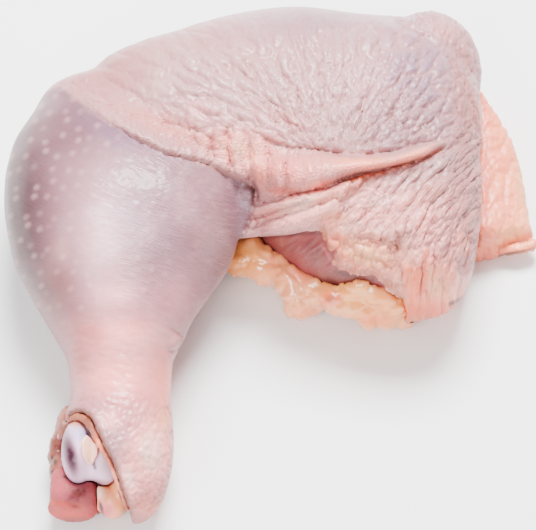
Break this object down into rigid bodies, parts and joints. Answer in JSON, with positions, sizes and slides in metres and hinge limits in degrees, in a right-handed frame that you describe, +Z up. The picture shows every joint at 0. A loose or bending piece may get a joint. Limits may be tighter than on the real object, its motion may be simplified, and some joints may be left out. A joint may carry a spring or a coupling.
{
  "type": "raw chicken leg quarter",
  "caption": "Raw poultry leg with thigh and drumstick, loose wrinkled skin over it, torn at the front edge over meat and fat, and cut at the hock joint.",
  "frame": {"origin": "on the table, under the middle of the piece's bounding box", "axes": "+Z up from the table; +Y from the cut hock to the thigh; +X from the drumstick to the hip and back flap"},
  "size_m": [0.1464, 0.1548, 0.047],
  "materials": {
    "skin": "moist wrinkled pale skin",
    "meat": "wet raw dark meat",
    "fat": "glossy soft yellow fat",
    "flap_skin": "moist pebbled skin",
    "cartilage": "smooth wet cartilage",
    "marrow": "wet pink marrow",
    "sinew": "wet gristle",
    "tendon": "wet white tendon"
  },
  "bodies": {
    "root": {"skin": "skin", "meat": "meat", "fat": "fat", "back_flap": "flap_skin", "shin_bone": "cartilage", "bone_stump": "marrow", "sinews": "sinew", "tendon": "tendon"}
  },
  "joints": []
}
